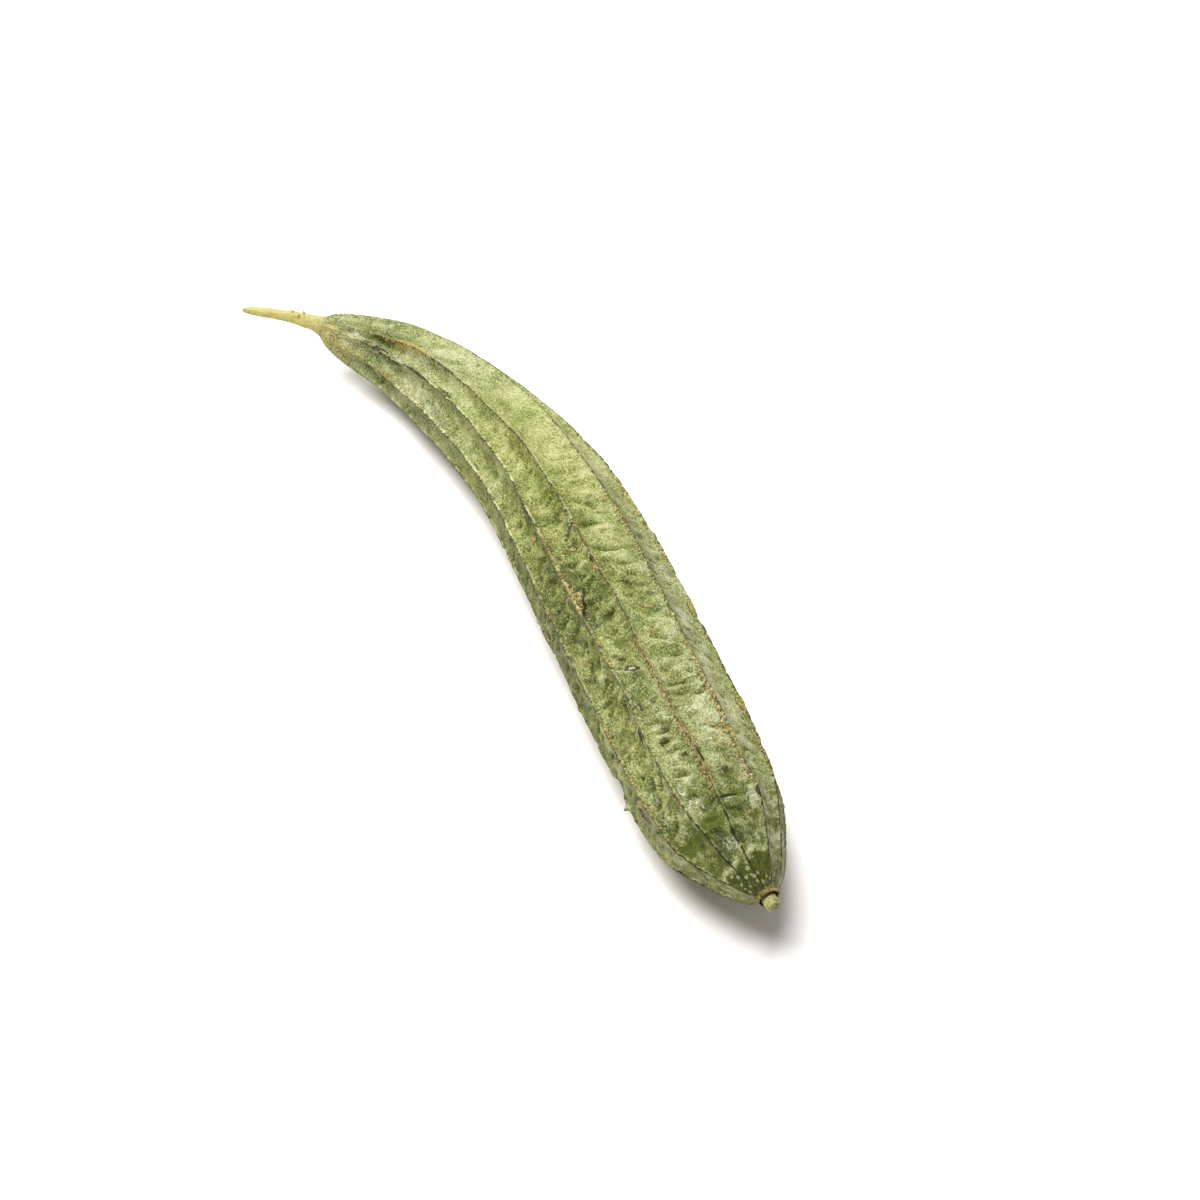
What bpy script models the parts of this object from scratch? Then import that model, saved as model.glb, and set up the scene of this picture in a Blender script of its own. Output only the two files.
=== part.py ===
"""Ridge gourd lying on its side: a long ribbed body, its cut stem and its dried blossom stub.

Units are metres and +Z is up. The stem points along -X, the blossom end along +X,
and the underside rests on Z = 0. Around the body, angles are counted in degrees
from straight up, growing towards +Y.
"""
import math

import bmesh
import bpy
from mathutils import Matrix, Vector

OBJECT_NAME = "ridge_gourd"

# Body axis: shares run from 0 at the stem joint to 1 at the blossom end.
BODY_LENGTH = 0.3280
BODY_START = (-0.1492, -0.0165)
BODY_HEADING = (
    (0.00, 49.0), (0.08, 34.0), (0.16, 11.0), (0.28, 5.0),
    (0.42, -5.8), (0.60, -9.9), (0.80, -9.8), (1.00, -3.0),
)
BODY_HEIGHT = (
    (0.00, 0.0242), (0.05, 0.0194), (0.12, 0.0166), (0.22, 0.0196), (0.32, 0.0218),
    (0.44, 0.0248), (0.60, 0.0265), (0.72, 0.0264), (0.84, 0.0258), (1.00, 0.0260),
)

# Radius out to the rib crests, and how far the valleys sink below it.
CREST_RADIUS = (
    (0.000, 0.0042), (0.012, 0.0074), (0.040, 0.0108), (0.100, 0.0147),
    (0.200, 0.0189), (0.320, 0.0217), (0.440, 0.0247), (0.580, 0.0264),
    (0.720, 0.0263), (0.840, 0.0257), (0.900, 0.0232), (0.950, 0.0162),
    (0.985, 0.0098), (1.000, 0.0043),
)
VALLEY_DEPTH = (
    (0.00, 0.0003), (0.04, 0.0011), (0.12, 0.0021), (0.40, 0.0020),
    (0.70, 0.0016), (0.92, 0.0012), (1.00, 0.0002),
)
CREST_SHARPNESS = 0.70

# Each rib's angle at four stations along the body.
RIB_STATIONS = (0.00, 0.25, 0.42, 1.00)
RIB_ANGLES = (
    (-70.0, -75.0, -73.0, -73.0),
    (-38.0, -41.0, -43.0, -39.0),
    (-17.0, -17.0, -14.0, -10.0),
    (37.0, 36.0, 26.0, 23.0),
    (72.0, 70.0, 60.0, 57.0),
    (111.0, 109.0, 98.0, 95.0),
    (149.0, 147.0, 137.0, 134.0),
    (186.0, 184.0, 177.0, 176.0),
    (222.0, 221.0, 213.0, 212.0),
    (255.0, 254.0, 250.0, 250.0),
)
COLUMNS_PER_VALLEY = 6
BODY_RINGS = 62
END_CROWDING = 0.60
AXIS_STEPS = 400

# Stem: a tapering stalk that bends a little as it leaves the body.
JOINT_GAP = 0.0003
STEM_LENGTH = 0.0318
STEM_HEADING = ((0.0, 49.0), (0.15, 42.0), (0.40, 43.0), (1.0, 50.0))
STEM_HEIGHT = ((0.0, 0.0242), (0.12, 0.0252), (0.40, 0.0255), (1.0, 0.0252))
STEM_RADIUS = (
    (0.00, 0.0037), (0.10, 0.0033), (0.22, 0.0030), (0.36, 0.0024), (0.50, 0.0021),
    (0.70, 0.0020), (0.88, 0.0017), (0.97, 0.0012), (1.00, 0.0005),
)
STEM_RINGS = 16
STEM_SIDES = 20

# Blossom stub: a short round button on the very end of the body.
STUB_RADIUS = 0.00265
STUB_LENGTH = 0.0045
STUB_EDGE = 0.0007
STUB_SIDES = 32
STUB_EDGE_STEPS = 3


def blend(points, t):
    """Smooth curve through (share, value) points that never overshoots them."""
    count = len(points)
    t = min(max(t, points[0][0]), points[-1][0])
    index = 0
    while index < count - 2 and t > points[index + 1][0]:
        index += 1
    slopes = []
    for k in range(count - 1):
        width = points[k + 1][0] - points[k][0]
        slopes.append((points[k + 1][1] - points[k][1]) / width)

    def tangent(k):
        if k == 0 or k == count - 1:
            return slopes[min(k, count - 2)]
        before, after = slopes[k - 1], slopes[k]
        if before * after <= 0.0:
            return 0.0
        left = points[k][0] - points[k - 1][0]
        right = points[k + 1][0] - points[k][0]
        weight_a = 2.0 * right + left
        weight_b = right + 2.0 * left
        return (weight_a + weight_b) / (weight_a / before + weight_b / after)

    width = points[index + 1][0] - points[index][0]
    u = (t - points[index][0]) / width
    start = (2 * u**3 - 3 * u**2 + 1) * points[index][1]
    start += (u**3 - 2 * u**2 + u) * width * tangent(index)
    end = (3 * u**2 - 2 * u**3) * points[index + 1][1]
    end += (u**3 - u**2) * width * tangent(index + 1)
    return start + end


def walk_axis(start, length, heading, height, direction):
    """Points along a curved axis, found by stepping along its plan heading."""
    points = []
    x, y = start
    for step in range(AXIS_STEPS + 1):
        share = step / AXIS_STEPS
        points.append(Vector((x, y, blend(height, share))))
        angle = math.radians(blend(heading, share + 0.5 / AXIS_STEPS))
        x += direction * math.cos(angle) * length / AXIS_STEPS
        y += direction * math.sin(angle) * length / AXIS_STEPS
    return points


def axis_frame(points, share):
    """Centre, forward, left and up directions at a share of the axis."""
    place = min(max(share, 0.0), 1.0) * AXIS_STEPS
    low = min(int(place), AXIS_STEPS - 1)
    centre = points[low].lerp(points[low + 1], place - low)
    forward = points[min(low + 2, AXIS_STEPS)] - points[max(low - 1, 0)]
    forward.normalize()
    left = Vector((0.0, 0.0, 1.0)).cross(forward).normalized()
    up = forward.cross(left).normalized()
    return centre, forward, left, up


def rib_angles_at(share):
    """Angles of all ribs at a share of the body, in growing order."""
    angles = []
    for row in RIB_ANGLES:
        angles.append(blend(tuple(zip(RIB_STATIONS, row)), share))
    return angles


def body_column(share, column):
    """Angle and radius of one column of the body's skin."""
    ribs = rib_angles_at(share)
    rib = column // COLUMNS_PER_VALLEY
    across = (column % COLUMNS_PER_VALLEY) / COLUMNS_PER_VALLEY
    first = ribs[rib]
    second = ribs[rib + 1] if rib + 1 < len(ribs) else ribs[0] + 360.0
    angle = math.radians(first + (second - first) * across)
    sink = math.sin(math.pi * across) ** CREST_SHARPNESS
    radius = blend(CREST_RADIUS, share) - blend(VALLEY_DEPTH, share) * sink
    return angle, radius


def ring_share(ring, rings):
    """Share of a ring along its axis, with the rings crowded towards the ends."""
    even = ring / (rings - 1)
    eased = 0.5 - 0.5 * math.cos(math.pi * even)
    return END_CROWDING * eased + (1.0 - END_CROWDING) * even


def grown_skin(name, sides, rings, place):
    """A sphere whose rings and columns are moved out to a grown shape.

    place(share, column) gives the position of a point on the skin; a column of
    None asks for the middle of the end cap.
    """
    work = bmesh.new()
    bmesh.ops.create_uvsphere(work, u_segments=sides, v_segments=rings + 1, radius=1.0)
    for vert in work.verts:
        latitude = math.acos(max(-1.0, min(1.0, vert.co.z))) / math.pi
        row = round(latitude * (rings + 1))
        if row == 0 or row == rings + 1:
            vert.co = place(1.0 if row else 0.0, None)
            continue
        turn = math.atan2(vert.co.y, vert.co.x) / (2.0 * math.pi)
        column = round(turn * sides) % sides
        vert.co = place(ring_share(row - 1, rings), column)
    return finish_mesh(name, work)


def finish_mesh(name, work):
    """Turn working geometry into an object with outward, smooth faces."""
    work.normal_update()
    bmesh.ops.recalc_face_normals(work, faces=work.faces[:])
    mesh = bpy.data.meshes.new(name)
    work.to_mesh(mesh)
    work.free()
    for face in mesh.polygons:
        face.use_smooth = True
    return bpy.data.objects.new(name, mesh)


def surface_material(name, colour, roughness):
    """A plain non-metal Principled material."""
    material = bpy.data.materials.new(name)
    material.use_nodes = True
    shader = material.node_tree.nodes["Principled BSDF"]
    shader.inputs["Base Color"].default_value = (*colour, 1.0)
    shader.inputs["Roughness"].default_value = roughness
    shader.inputs["Metallic"].default_value = 0.0
    return material


def rind_material():
    return surface_material("rind_green", (0.26, 0.34, 0.13), 0.55)


def stem_material():
    return surface_material("stem_straw", (0.56, 0.47, 0.17), 0.60)


def stub_material():
    return surface_material("stub_tan", (0.40, 0.33, 0.13), 0.70)


def build_body(axis):
    """The ribbed body, a long curved taper with a blunt blossom end."""

    def place(share, column):
        centre, _, left, up = axis_frame(axis, share)
        if column is None:
            return centre
        angle, radius = body_column(share, column)
        return centre + radius * (math.cos(angle) * up + math.sin(angle) * left)

    sides = COLUMNS_PER_VALLEY * len(RIB_ANGLES)
    body = grown_skin("gourd_body", sides, BODY_RINGS, place)
    body.data.materials.append(rind_material())
    return body


def build_stem(body_axis):
    """The cut stalk, leaving the body's narrow end along its own bent axis."""
    centre, forward, _, _ = axis_frame(body_axis, 0.0)
    start = centre - forward * JOINT_GAP
    axis = walk_axis((start.x, start.y), STEM_LENGTH, STEM_HEADING, STEM_HEIGHT, -1.0)

    def place(share, column):
        middle, _, left, up = axis_frame(axis, share)
        if column is None:
            return middle
        angle = 2.0 * math.pi * column / STEM_SIDES
        radius = blend(STEM_RADIUS, share)
        return middle + radius * (math.cos(angle) * up + math.sin(angle) * left)

    stem = grown_skin("stem", STEM_SIDES, STEM_RINGS, place)
    stem.data.materials.append(stem_material())
    return stem


def build_stub(body_axis):
    """The round button left by the dried flower."""
    centre, forward, left, up = axis_frame(body_axis, 1.0)
    work = bmesh.new()
    bmesh.ops.create_cone(
        work, cap_ends=True, segments=STUB_SIDES,
        radius1=STUB_RADIUS, radius2=STUB_RADIUS, depth=STUB_LENGTH,
    )
    rim = []
    for edge in work.edges:
        if min(vert.co.z for vert in edge.verts) > 0.0:
            rim.append(edge)
    bmesh.ops.bevel(
        work, geom=rim, offset=STUB_EDGE, segments=STUB_EDGE_STEPS,
        profile=0.5, affect="EDGES",
    )
    middle = centre + forward * (JOINT_GAP + 0.5 * STUB_LENGTH)
    turn = Matrix((up, left, forward)).transposed().to_4x4()
    bmesh.ops.transform(work, matrix=Matrix.Translation(middle) @ turn, verts=work.verts[:])
    stub = finish_mesh("blossom_stub", work)
    stub.data.materials.append(stub_material())
    return stub


def clear_objects():
    for item in list(bpy.data.objects):
        bpy.data.objects.remove(item, do_unlink=True)


def main():
    clear_objects()
    axis = walk_axis(BODY_START, BODY_LENGTH, BODY_HEADING, BODY_HEIGHT, 1.0)
    group = bpy.data.collections.new(OBJECT_NAME)
    bpy.context.scene.collection.children.link(group)
    for piece in (build_body(axis), build_stem(axis), build_stub(axis)):
        group.objects.link(piece)


main()
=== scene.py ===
"""Ridge gourd on a pale floor: the finished skin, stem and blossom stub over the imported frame."""

import math
from functools import partial, reduce
from types import SimpleNamespace

import bpy
import numpy as np
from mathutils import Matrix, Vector, noise


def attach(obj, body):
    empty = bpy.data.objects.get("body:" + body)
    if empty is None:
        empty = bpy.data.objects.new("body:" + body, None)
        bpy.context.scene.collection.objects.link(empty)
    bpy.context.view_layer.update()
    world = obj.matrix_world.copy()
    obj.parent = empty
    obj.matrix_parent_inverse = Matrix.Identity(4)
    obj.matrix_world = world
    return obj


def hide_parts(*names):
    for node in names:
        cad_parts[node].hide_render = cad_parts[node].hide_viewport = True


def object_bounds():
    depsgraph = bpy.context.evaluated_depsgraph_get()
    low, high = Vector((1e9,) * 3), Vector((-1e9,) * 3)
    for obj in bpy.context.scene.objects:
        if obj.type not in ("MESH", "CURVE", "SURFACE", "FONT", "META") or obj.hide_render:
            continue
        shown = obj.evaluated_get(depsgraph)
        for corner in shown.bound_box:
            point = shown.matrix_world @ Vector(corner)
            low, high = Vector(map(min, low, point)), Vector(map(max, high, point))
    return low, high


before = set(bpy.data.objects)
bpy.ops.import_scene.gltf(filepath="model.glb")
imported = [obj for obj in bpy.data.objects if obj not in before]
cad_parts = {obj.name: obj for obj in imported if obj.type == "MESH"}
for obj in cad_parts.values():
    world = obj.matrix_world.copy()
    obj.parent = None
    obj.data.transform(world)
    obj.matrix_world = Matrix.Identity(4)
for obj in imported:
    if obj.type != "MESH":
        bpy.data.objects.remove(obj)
cad_low, cad_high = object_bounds()
scene = bpy.context.scene

# ---- shape of the fruit
# Lengths in metres; shares run from 0 at the stem joint to 1 at the blossom end.
BODY_LENGTH = 0.3280
BODY_START = (-0.1492, -0.0165)
BODY_HEADING = (
    (0, 49), (0.08, 34), (0.16, 11), (0.28, 5), (0.42, -5.8), (0.6, -9.9), (0.8, -9.8), (1, -3),
)
BODY_HEIGHT = (
    (0, 0.0242), (0.05, 0.0194), (0.12, 0.0166), (0.22, 0.0196), (0.32, 0.0218), (0.44, 0.0248),
    (0.6, 0.0265), (0.72, 0.0264), (0.84, 0.0258), (1, 0.026),
)
CREST_RADIUS = (
    (0, 0.0042), (0.012, 0.0074), (0.04, 0.0108), (0.1, 0.0147), (0.2, 0.0189), (0.32, 0.0217),
    (0.44, 0.0247), (0.58, 0.0264), (0.72, 0.0263), (0.84, 0.0257), (0.9, 0.0232), (0.95, 0.0162),
    (0.985, 0.0098), (1, 0.0043),
)
VALLEY_DEPTH = (
    (0, 0.0003), (0.04, 0.0012), (0.12, 0.0023), (0.4, 0.0022), (0.7, 0.0017), (0.92, 0.0013), (1, 0.0002),
)
RIB_STATIONS = (0.00, 0.25, 0.42, 1.00)
RIB_ANGLES = (
    (-70, -75, -73, -73), (-38, -41, -43, -39), (-17, -17, -14, -10), (37, 36, 26, 23), (72, 70, 60, 57),
    (111, 109, 98, 95), (149, 147, 137, 134), (186, 184, 177, 176), (222, 221, 213, 212),
    (255, 254, 250, 250),
)
RIBS = len(RIB_ANGLES)
STEM_LENGTH = 0.0326
STEM_INSET = 0.0014
STEM_HEADING = ((0.0, 49.0), (0.15, 42.0), (0.40, 43.0), (1.0, 50.0))
STEM_HEIGHT = ((0.0, 0.0242), (0.12, 0.0252), (0.40, 0.0255), (1.0, 0.0252))
STEM_SKIN = (
    (0, 0.00405), (0.04, 0.00395), (0.09, 0.0034), (0.15, 0.00305), (0.24, 0.0027), (0.36, 0.00235),
    (0.5, 0.0021), (0.7, 0.002), (0.84, 0.00175), (0.93, 0.0014), (1, 0.0009),
)
# Thorns on the stem: place along it in mm, turn in radians, height and half width in mm.
STEM_THORNS = ((8.8, 0.25, 2.2, 0.36), (10.2, -0.30, 1.7, 0.38), (13.2, 0.1, 1.5, 0.5), (15.0, 0.5, 0.8, 0.5))
STEM_SIDES = 56
# How far the stub's outline lies past the blossom end, and its radius, in mm.
STUB_PROFILE = (
    (-0.9, 2.2), (-0.3, 2.45), (0.5, 2.55), (1.4, 2.58), (2.3, 2.62), (3.2, 2.62), (3.8, 2.58), (4.25, 2.42),
    (4.55, 2.15), (4.7, 1.8), (4.68, 1.4), (4.6, 1), (4.5, 0.6), (4.4, 0.3),
)
STUB_DROP = 0.00025
STUB_SIDES = 72
# The corky rim and the hollow that the stub sits in: how far past the end, and radius, in mm.
COLLAR = ((0.35, 4.25), (0.80, 4.0), (1.05, 3.7), (0.95, 3.45), (0.4, 3.25), (-0.5, 3.1), (-1.1, 2.4))
AXIS_STEPS = 400
RINGS = 432
COLUMNS_PER_VALLEY = 22
# The columns crowd towards the crests by this part of a valley.
CREST_CROWDING = 0.085
# Where the fruit is thinner than this radius, its crests wander no further in degrees.
WANDER_RADIUS = 0.010
# The whole skin is set back by this much, in mm, to make room for what stands out from it.
TRIM = 0.45
MM = 0.001
# The lamp is bright, so each paint is made darker than it should look by this factor.
LAMP = 0.72

AZIMUTH = math.radians(59.31)
ELEVATION = math.radians(50.0)
DISTANCE = 1.0552
AIM = (0.0101, 0.0164)
LIGHT_DISTANCE = 1.6
FLOOR_REACH = 6.0


def blend(points, t):
    """Smooth, never overshooting curve through (share, value) points, for an array of shares."""
    x, y = np.array(points, float).T
    h = np.diff(x)
    d = np.diff(y) / h
    m = np.zeros(len(x))
    m[0], m[-1] = d[0], d[-1]
    for k in range(1, len(x) - 1):
        if d[k - 1] * d[k] > 0:
            a, b = 2 * h[k] + h[k - 1], h[k] + 2 * h[k - 1]
            m[k] = (a + b) / (a / d[k - 1] + b / d[k])
    t = np.clip(t, x[0], x[-1])
    i = np.clip(np.searchsorted(x, t, side="right") - 1, 0, len(h) - 1)
    u = (t - x[i]) / h[i]
    value = (2 * u**3 - 3 * u**2 + 1) * y[i] + (u**3 - 2 * u**2 + u) * h[i] * m[i]
    return value + (3 * u**2 - 2 * u**3) * y[i + 1] + (u**3 - u**2) * h[i] * m[i + 1]


def unit(vectors):
    return vectors / np.linalg.norm(vectors, axis=-1, keepdims=True)


class Axis:
    """A curved centre line and its forward, left and up directions."""

    def __init__(self, start, length, heading, height, direction=1.0):
        self.share = np.linspace(0, 1, AXIS_STEPS + 1)
        turn = np.radians(blend(heading, self.share[:-1] + 0.5 / AXIS_STEPS))
        step = direction * length / AXIS_STEPS
        x = start[0] + np.concatenate([[0], np.cumsum(np.cos(turn) * step)])
        y = start[1] + np.concatenate([[0], np.cumsum(np.sin(turn) * step)])
        self.points = np.stack([x, y, blend(height, self.share)], axis=1)

    def frame(self, share):
        def at(values):
            return np.stack([np.interp(share, self.share, values[:, k]) for k in range(3)], axis=-1)

        forward = unit(at(np.gradient(self.points, axis=0)))
        left = unit(np.cross([0.0, 0.0, 1.0], forward))
        return at(self.points), forward, left, np.cross(forward, left)


def ring_points(centre, left, up, angle, radius):
    """Points round a centre, radius in mm; the angle turns from the top to the left."""
    ring = np.cos(angle)[..., None] * up + np.sin(angle)[..., None] * left
    return centre + radius[..., None] * MM * ring


def speck(x, y, z):
    """Smooth noise from -1 to 1 for arrays of coordinates."""
    x, y, z = np.broadcast_arrays(x, y, z)
    flat = zip(x.ravel().tolist(), y.ravel().tolist(), z.ravel().tolist())
    return np.array([noise.noise(p) for p in flat]).reshape(x.shape)


def smooth_step(low, high, value):
    t = np.clip((value - low) / (high - low), 0, 1)
    return t * t * (3 - 2 * t)


def bump_at(value, centre, width):
    return np.exp(-((value - centre) / width) ** 2)


# ---- features of this fruit
# Where each crest strays from its rib, in degrees to the left seen from the stem.
RIB_STRAY = {
    0: ((0.05, 0), (0.12, 2), (0.22, 2.5), (0.32, 2), (0.42, 0.5), (0.56, 0), (0.7, 0.5), (0.75, 2),
        (0.85, 2), (0.895, 1), (0.92, -6), (0.945, -6), (0.96, -2.5), (0.975, 3), (1, 5)),
    1: ((0.05, 0), (0.12, -2), (0.16, 1), (0.2, 2.2), (0.23, 3.2), (0.28, 1.9), (0.36, 0.9), (0.42, 0.8),
        (0.46, -0.8), (0.55, -0.5), (0.65, 0.3), (0.72, 1.6), (0.76, 3.2), (0.8, 1.3), (0.87, 0.8),
        (0.94, 0), (0.97, -1.5), (1, -1)),
    2: ((0.05, 0), (0.12, 4), (0.2, 4), (0.25, 3.7), (0.3, 2), (0.36, 1), (0.44, -0.5), (0.5, -1),
        (0.6, -0.9), (0.64, 1.4), (0.67, 1.7), (0.7, 0), (0.76, 1), (0.8, 0.6), (0.85, 2.6), (0.88, 2),
        (0.93, 0.3), (0.96, -2), (0.985, -4), (1, -4)),
    3: ((0.3, 0), (0.45, 0), (0.55, 2), (0.62, 1.5), (0.75, 1.8), (0.82, 3), (0.88, 2.5), (0.92, 7.5),
        (0.94, 6.5), (0.96, 3.5), (0.975, 1), (1, 0)),
}
# How corky each crest has worn, by share; the other crests wear at random.
RIB_WEAR = {
    0: ((0.06, 0.2), (0.13, 0.5), (0.2, 0.3), (0.26, 0.2), (0.33, 0.35), (0.42, 0.25), (0.57, 0.25),
        (0.6, 0.5), (0.63, 0.4), (0.7, 0.25), (0.74, 0.6), (0.78, 0.6), (0.82, 0.7), (0.87, 0.8),
        (0.9, 0.65), (0.925, 0.3), (0.94, 0)),
    1: ((0.04, 0), (0.2, 0.1), (0.41, 0.25), (0.48, 0.2), (0.5, 0.8), (0.58, 1), (0.62, 1), (0.65, 0.5),
        (0.68, 0.9), (0.72, 0.7), (0.75, 0.25), (0.79, 0.6), (0.82, 0.5), (0.85, 0.5), (0.895, 0.6),
        (0.912, 0)),
    2: ((0.04, 0), (0.1, 0.6), (0.2, 0.4), (0.23, 0.2), (0.4, 0.2), (0.49, 0.3), (0.515, 0.8), (0.54, 0.45),
        (0.57, 0.5), (0.59, 1), (0.61, 0.35), (0.68, 0.35), (0.7, 0.8), (0.78, 1), (0.84, 1.3), (0.88, 1.2),
        (0.905, 0.6), (0.925, 0)),
    3: ((0.05, 0), (0.3, 0.15), (0.48, 0.35), (0.52, 0.7), (0.58, 0.6), (0.64, 0.5), (0.7, 0.7), (0.79, 1.2),
        (0.86, 1.2), (0.9, 0.9), (0.92, 0.4), (0.935, 0)),
}
# Marks by kind: share in thousandths, rib position, half length and half width in mm, strength and, where
# the mark is turned, by how many degrees.
MARKS = {
    "ochre": (
        (132, 2.12, 10, 2.7, 1), (112, 2, 3.5, 2.6, 0.9), (172, 3.75, 3, 4.5, 0.9, 10),
        (113, -0.15, 3.6, 3.4, 0.65, 25), (12, 0.5, 3, 9, 0.7), (30, -0.3, 3, 5, 0.6),
    ),
    "tan": (
        (35, -0.4, 5, 4, 0.5), (45, 0.75, 3, 3, 0.45), (115, 0.06, 5, 0.7, 0.8), (85, 3.8, 2, 3.5, 0.6),
        (500, 1.79, 2.2, 1.5, 0.8), (515, 1.18, 1.8, 0.9, 0.7), (548, 1.62, 0.8, 2.4, 0.9, -15),
        (550, 1.25, 1.1, 1, 0.9), (495, 2.93, 0.9, 1.2, 0.8), (630, 2.86, 0.8, 1.4, 0.8, -20),
        (655, 2.55, 0.6, 2.6, 0.8, -18), (690, 2.45, 0.7, 1.3, 0.8, -10), (720, 2.8, 1.1, 0.9, 0.8),
        (830, 2.8, 0.9, 2.8, 0.95, 5), (838, 2.94, 1, 1.3, 0.9), (846, 2.58, 1, 1.1, 0.8),
        (700, 0.5, 1, 1.2, 0.7), (718, 0.77, 1.3, 1.3, 1), (751, 0.57, 0.6, 2, 0.8),
        (725, 0.32, 1.2, 0.9, 0.7), (830, 1.45, 0.8, 1.5, 0.7), (836, 1.62, 0.8, 0.7, 0.7),
        (682, 1.5, 1, 0.9, 0.8), (710, 1.12, 2, 1.3, 1), (787, 0.76, 1.1, 1.8, 0.9, 10),
        (815, 0.55, 0.6, 1.8, 0.5), (655, 3.95, 3.5, 1.4, 1), (790, 3.96, 3.5, 1.2, 1),
        (500, 3.78, 0.9, 1.3, 0.8), (862, -0.36, 5, 4.2, 0.9, 20), (570, -0.3, 8, 2, 0.5, 10),
        (855, 3.02, 8, 1.1, 0.7), (20, 0.3, 3.5, 3, 0.5), (55, 0.15, 5, 1.6, 0.5),
    ),
    "cream": (
        (483, 0.57, 0.7, 1.9, 0.8, 20), (500, 0.66, 0.8, 1.9, 1, 22), (845, 0.62, 1.2, 1.5, 0.8),
        (492, -0.35, 1.2, 4, 0.8, 25), (96, -0.3, 0.9, 5.5, 0.9, 8), (115, 1.55, 0.8, 2, 0.5),
        (95, 1.04, 4, 0.4, 1), (121, 1.05, 4.5, 0.35, 1), (70, 1.08, 2, 0.5, 0.8),
    ),
    # The dark mark at share 622 thousandths lies along the flap's lifted edge: partly a crack, partly painted
    # shadow.
    "dark": (
        (110, 0.96, 9, 1.1, 0.8), (170, 1, 9, 0.7, 0.8), (62, 1.1, 2.4, 1.2, 0.6),
        (137, 2.27, 0.6, 1.2, 0.9, -15), (187, 0.7, 0.6, 1.6, 0.6), (506, -0.33, 1.4, 2.6, 0.9, 25),
        (803, 0.88, 3, 0.8, 1, -12), (741, 1.08, 2.4, 0.6, 0.6), (622, 1.17, 6.6, 0.34, 1, -17),
        (860, 2.04, 2.8, 0.5, 1), (911, 2.26, 0.55, 4, 1), (772, 1.19, 1.9, 0.5, 0.8),
        (465, 0.96, 6, 0.7, 0.9), (228, 1.12, 4.5, 0.8, 0.7), (540, 3.12, 4, 1, 0.6),
        (540, 0.33, 1, 1.4, 0.5), (578, 1.95, 1.2, 0.9, 0.8), (864, -0.4, 3.4, 2.4, 1, 8),
        (912, 3, 2.4, 0.8, 0.9), (85, 1.05, 5, 1.3, 0.8),
    ),
    "curls": (
        (125, 1.06, 11, 1.5, 1), (90, 0.86, 7, 1.4, 0.8), (903, 1.3, 4.4, 3, 1), (882, 1.18, 3.5, 1.4, 0.9),
        (520, 1.9, 5, 2, 0.7),
    ),
    "deep": (
        (535, 0.33, 2, 2.6, 0.7), (690, 1.55, 2, 3, 0.7), (890, 0.78, 4, 1.8, 0.6),
        (930, 0.3, 2.6, 5.5, 0.85), (926, 1.5, 2.2, 6, 0.8), (910, 2.5, 2, 4, 0.6), (947, 2.4, 2, 4, 0.4),
        (265, 1.3, 3.5, 1.8, 0.35),
    ),
    "ring": (
        (727, 1.52, 1.1, 2.7, 1, -26), (766, 1.12, 3, 0.8, 0.5, -8),
    ),
    "pale": (
        (829, -1, 1.8, 1.8, 1), (20, 2.6, 5, 4, 0.36), (60, 0.35, 4, 1.8, 0.45),
        (952, 1.65, 2.6, 3.6, 0.5, -20), (918, 2.82, 4.5, 1.7, 0.75), (893, 0.28, 3, 2.4, 0.5),
        (918, 0.45, 2, 2.8, 0.4, 20), (868, 0.3, 3, 2.8, 0.45), (880, 2.3, 2.5, 3, 0.4, 20),
        (850, 1.6, 2, 3.4, 0.4, 25), (828, 1.4, 1.8, 3, 0.4, 15), (800, 2.35, 2, 3.4, 0.45, -15),
        (760, 2.65, 1.8, 3.2, 0.4, 10),
    ),
}
# Marks up to this half width or length, in mm, and all curls are painted by the rind's nodes alone; the
# larger marks are masks kept with the skin's points, which are also raised or sunk.
SMALL = 1.6
FINE_KINDS = ("tan", "cream", "dark", "curls", "ring")
STAINS = ("ochre", "tan", "dark", "deep", "pale", "cream")
# Bites out of a crest, or swellings on it: share, rib, half length and depth in mm.
BITES = (
    (0.8, 9, 4, 1.3), (0.829, 9, 0.8, -1.7), (0.53, 4, 2.5, 0.5), (0.648, 4, 3, -0.45), (0.672, 4, 2, 0.4),
    (0.79, 4, 2.5, -0.4), (0.85, 4, 2, 0.5), (0.735, 2, 1.5, 0.5), (0.44, 9, 1.5, 0.6), (0.61, 9, 1.2, 0.6),
    (0.69, 9, 1.5, -0.4), (0.335, 1, 1, 0.3),
)
BITE_WIDTH = 1.6
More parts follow.
